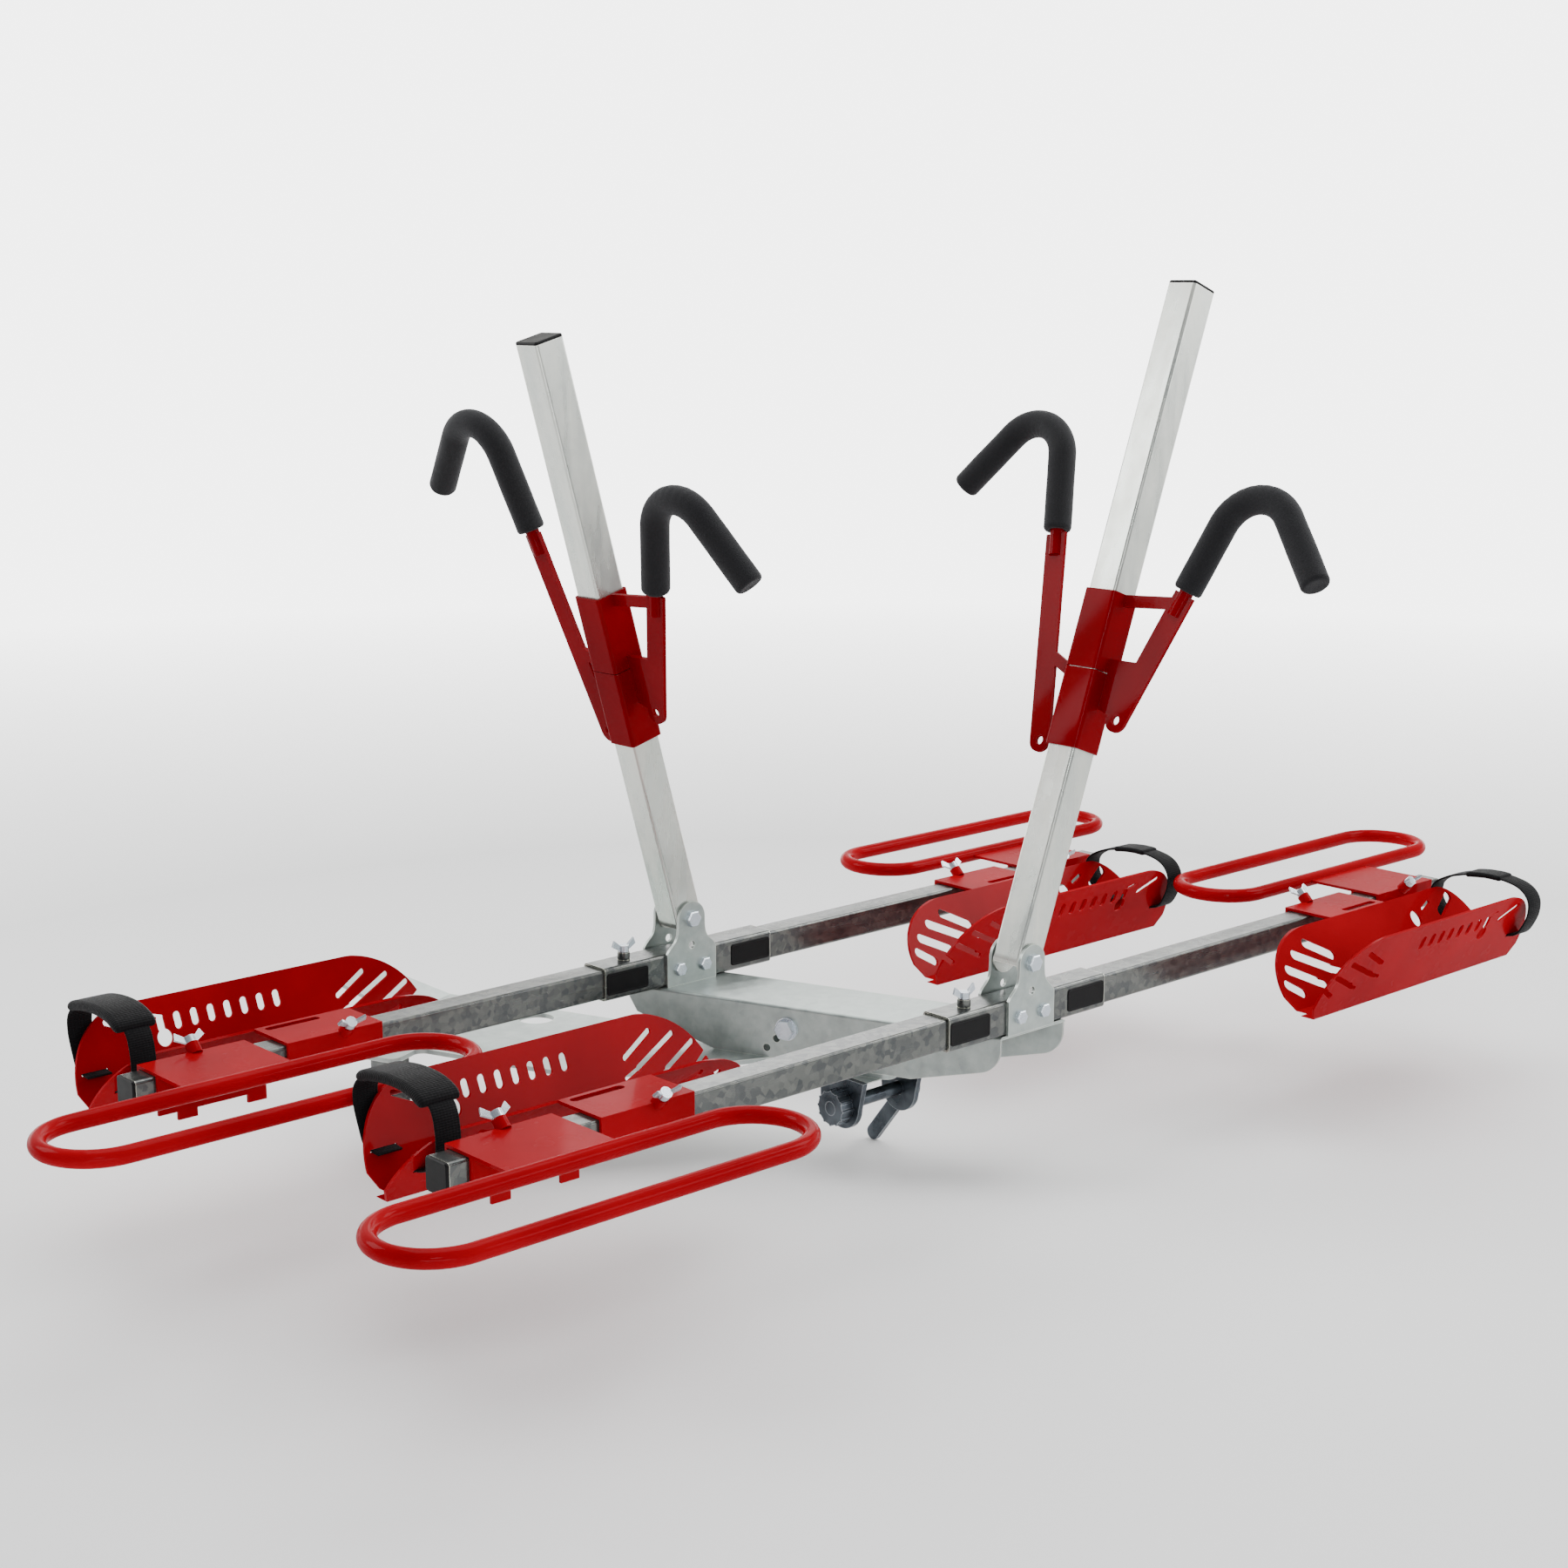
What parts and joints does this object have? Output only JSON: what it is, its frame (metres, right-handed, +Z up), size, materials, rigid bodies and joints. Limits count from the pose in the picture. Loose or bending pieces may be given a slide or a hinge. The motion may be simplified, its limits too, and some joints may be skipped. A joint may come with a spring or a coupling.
{
  "type": "hitch bicycle rack",
  "caption": "Hitch-mounted bicycle rack: a diagonal spine carries square rails with V trays and rod loops for the wheels, and leaning masts with padded frame hooks.",
  "frame": {"origin": "on the flat underside of the tongue plate, in the middle of the hitch clamp", "axes": "+X along the rails to the right, +Y towards the vehicle, +Z up"},
  "size_m": [1.785, 0.9689, 0.8843],
  "materials": {
    "zinc_sheet": "galvanised, satin",
    "zinc_tube": "galvanised tube, satin",
    "zinc_bolt": "bright bluish zinc",
    "dark_steel": "dark oiled steel",
    "red_paint": "glossy bright red powder coat",
    "dark_red_paint": "darker red powder coat",
    "black_plastic": "matte black",
    "foam": "matte black foam sleeve",
    "webbing": "black woven webbing"
  },
  "bodies": {
    "base": {"spine_frame": "zinc_sheet", "tongue_plate": "zinc_sheet", "stand_leg": "zinc_tube", "stand_foot": "black_plastic", "clamp_cheeks": "dark_steel", "frame_bolt": "zinc_bolt", "bracket_bolts": "zinc_bolt", "pivot_bolts": "zinc_bolt", "front_sleeve": "zinc_tube", "front_cheek_near": "zinc_sheet", "front_cheek_far": "zinc_sheet", "front_right_rail": "zinc_tube", "front_right_rail_cap": "black_plastic", "back_sleeve": "zinc_tube", "back_cheek_near": "zinc_sheet", "back_cheek_far": "zinc_sheet", "back_right_rail": "zinc_tube", "back_right_rail_cap": "black_plastic"},
    "clamp_rod": {"clamp_rod_lever": "dark_steel"},
    "clamp_nut": {"clamp_knob": "dark_steel"},
    "front_mast": {"front_mast": "zinc_tube", "front_mast_cap": "black_plastic"},
    "front_lower_hook": {"front_lower_hook": "dark_red_paint", "front_lower_foam": "foam"},
    "front_upper_hook": {"front_upper_hook": "dark_red_paint", "front_upper_foam": "foam"},
    "front_sleeve_screw": {"front_sleeve_screw": "zinc_bolt"},
    "front_left_rail": {"front_left_rail": "zinc_tube", "front_left_rail_cap": "black_plastic"},
    "front_left_loop": {"front_left_wheel_loop": "red_paint"},
    "front_left_tray": {"front_left_tray": "red_paint", "front_left_strap": "webbing"},
    "front_left_loop_screw": {"front_left_loop_screw": "zinc_bolt"},
    "front_left_tray_screw": {"front_left_tray_screw": "zinc_bolt"},
    "front_right_loop": {"front_right_wheel_loop": "red_paint"},
    "front_right_tray": {"front_right_tray": "red_paint", "front_right_strap": "webbing"},
    "front_right_loop_screw": {"front_right_loop_screw": "zinc_bolt"},
    "front_right_tray_screw": {"front_right_tray_screw": "zinc_bolt"},
    "back_mast": {"back_mast": "zinc_tube", "back_mast_cap": "black_plastic"},
    "back_lower_hook": {"back_lower_hook": "dark_red_paint", "back_lower_foam": "foam"},
    "back_upper_hook": {"back_upper_hook": "dark_red_paint", "back_upper_foam": "foam"},
    "back_sleeve_screw": {"back_sleeve_screw": "zinc_bolt"},
    "back_left_rail": {"back_left_rail": "zinc_tube", "back_left_rail_cap": "black_plastic"},
    "back_left_loop": {"back_left_wheel_loop": "red_paint"},
    "back_left_tray": {"back_left_tray": "red_paint", "back_left_strap": "webbing"},
    "back_left_loop_screw": {"back_left_loop_screw": "zinc_bolt"},
    "back_left_tray_screw": {"back_left_tray_screw": "zinc_bolt"},
    "back_right_loop": {"back_right_wheel_loop": "red_paint"},
    "back_right_tray": {"back_right_tray": "red_paint", "back_right_strap": "webbing"},
    "back_right_loop_screw": {"back_right_loop_screw": "zinc_bolt"},
    "back_right_tray_screw": {"back_right_tray_screw": "zinc_bolt"}
  },
  "joints": [
    {"name": "clamp_lever", "type": "hinge", "parent": "base", "child": "clamp_rod", "pos_m": [0, 0, -0.028], "axis": [1, 0, 0], "range_deg": [-60, 45]},
    {"name": "clamp_nut", "type": "hinge", "parent": "clamp_rod", "child": "clamp_nut", "pos_m": [0, 0, -0.028], "axis": [1, 0, 0], "continuous": true},
    {"name": "front_mast_fold", "type": "hinge", "parent": "base", "child": "front_mast", "pos_m": [0.0685, -0.1315, 0.131], "axis": [0, 1, 0], "range_deg": [-20.3, 52]},
    {"name": "front_lower_hook_slide", "type": "slide", "parent": "front_mast", "child": "front_lower_hook", "axis": [0.3469, 0, 0.9379], "range_m": [-0.12, 0]},
    {"name": "front_upper_hook_slide", "type": "slide", "parent": "front_mast", "child": "front_upper_hook", "axis": [0.3469, 0, 0.9379], "range_m": [0, 0.22]},
    {"name": "front_sleeve_screw_turn", "type": "hinge", "parent": "base", "child": "front_sleeve_screw", "pos_m": [-0.0065, -0.1315, 0.097], "axis": [0, 0, 1], "continuous": true},
    {"name": "front_left_rail_slide", "type": "slide", "parent": "base", "child": "front_left_rail", "axis": [-1, 0, 0], "range_m": [0, 0.03]},
    {"name": "front_left_loop_slide", "type": "slide", "parent": "front_left_rail", "child": "front_left_loop", "axis": [-1, 0, 0], "range_m": [0, 0.018]},
    {"name": "front_left_tray_slide", "type": "slide", "parent": "front_left_rail", "child": "front_left_tray", "axis": [1, 0, 0], "range_m": [0, 0.09]},
    {"name": "front_left_loop_screw_turn", "type": "hinge", "parent": "front_left_loop", "child": "front_left_loop_screw", "pos_m": [-0.5385, -0.113, 0.098], "axis": [0, 0.7071, 0.7071], "continuous": true},
    {"name": "front_left_tray_screw_turn", "type": "hinge", "parent": "front_left_tray", "child": "front_left_tray_screw", "pos_m": [-0.4025, -0.15, 0.098], "axis": [0, -0.7071, 0.7071], "continuous": true},
    {"name": "front_right_loop_slide", "type": "slide", "parent": "base", "child": "front_right_loop", "axis": [1, 0, 0], "range_m": [0, 0.018]},
    {"name": "front_right_tray_slide", "type": "slide", "parent": "base", "child": "front_right_tray", "axis": [-1, 0, 0], "range_m": [0, 0.09]},
    {"name": "front_right_loop_screw_turn", "type": "hinge", "parent": "front_right_loop", "child": "front_right_loop_screw", "pos_m": [0.7095, -0.15, 0.098], "axis": [0, -0.7071, 0.7071], "continuous": true},
    {"name": "front_right_tray_screw_turn", "type": "hinge", "parent": "front_right_tray", "child": "front_right_tray_screw", "pos_m": [0.5735, -0.113, 0.098], "axis": [0, 0.7071, 0.7071], "continuous": true},
    {"name": "back_mast_fold", "type": "hinge", "parent": "base", "child": "back_mast", "pos_m": [-0.0685, 0.2215, 0.131], "axis": [0, 1, 0], "range_deg": [-54, 15.7]},
    {"name": "back_lower_hook_slide", "type": "slide", "parent": "back_mast", "child": "back_lower_hook", "axis": [-0.2706, 0, 0.9627], "range_m": [-0.12, 0]},
    {"name": "back_upper_hook_slide", "type": "slide", "parent": "back_mast", "child": "back_upper_hook", "axis": [-0.2706, 0, 0.9627], "range_m": [0, 0.22]},
    {"name": "back_sleeve_screw_turn", "type": "hinge", "parent": "base", "child": "back_sleeve_screw", "pos_m": [-0.1435, 0.2215, 0.097], "axis": [0, 0, 1], "continuous": true},
    {"name": "back_left_rail_slide", "type": "slide", "parent": "base", "child": "back_left_rail", "axis": [-1, 0, 0], "range_m": [0, 0.03]},
    {"name": "back_left_loop_slide", "type": "slide", "parent": "back_left_rail", "child": "back_left_loop", "axis": [-1, 0, 0], "range_m": [0, 0.018]},
    {"name": "back_left_tray_slide", "type": "slide", "parent": "back_left_rail", "child": "back_left_tray", "axis": [1, 0, 0], "range_m": [0, 0.09]},
    {"name": "back_left_loop_screw_turn", "type": "hinge", "parent": "back_left_loop", "child": "back_left_loop_screw", "pos_m": [-0.6255, 0.24, 0.098], "axis": [0, 0.7071, 0.7071], "continuous": true},
    {"name": "back_left_tray_screw_turn", "type": "hinge", "parent": "back_left_tray", "child": "back_left_tray_screw", "pos_m": [-0.4895, 0.203, 0.098], "axis": [0, -0.7071, 0.7071], "continuous": true},
    {"name": "back_right_loop_slide", "type": "slide", "parent": "base", "child": "back_right_loop", "axis": [1, 0, 0], "range_m": [0, 0.018]},
    {"name": "back_right_tray_slide", "type": "slide", "parent": "base", "child": "back_right_tray", "axis": [-1, 0, 0], "range_m": [0, 0.09]},
    {"name": "back_right_loop_screw_turn", "type": "hinge", "parent": "back_right_loop", "child": "back_right_loop_screw", "pos_m": [0.5115, 0.203, 0.098], "axis": [0, -0.7071, 0.7071], "continuous": true},
    {"name": "back_right_tray_screw_turn", "type": "hinge", "parent": "back_right_tray", "child": "back_right_tray_screw", "pos_m": [0.3755, 0.24, 0.098], "axis": [0, 0.7071, 0.7071], "continuous": true}
  ]
}
